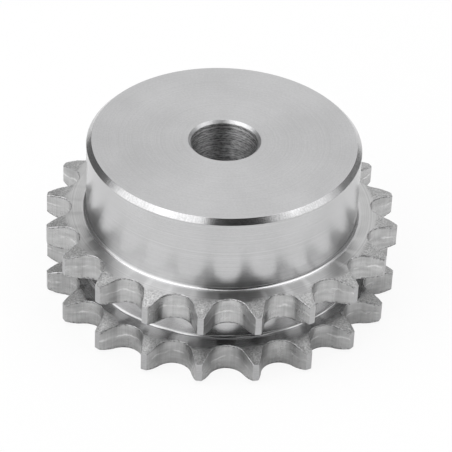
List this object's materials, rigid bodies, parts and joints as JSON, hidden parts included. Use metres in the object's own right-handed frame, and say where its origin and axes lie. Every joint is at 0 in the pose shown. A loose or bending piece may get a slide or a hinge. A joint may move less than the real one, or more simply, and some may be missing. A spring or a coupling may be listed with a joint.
{
  "type": "chain sprocket",
  "caption": "Duplex roller-chain sprocket with a large plain hub on one side, a pilot bore and relieved teeth in aligned rows.",
  "frame": {"origin": "on the bore axis, in the outer face of the lower tooth row, which is the face opposite the hub", "axes": "+Z along the bore axis towards the free end of the hub; a tooth of each row is centred on +X"},
  "size_m": [0.0638, 0.0638, 0.03],
  "materials": {
    "steel": "satin"
  },
  "bodies": {
    "root": {"sprocket": "steel"}
  },
  "joints": []
}
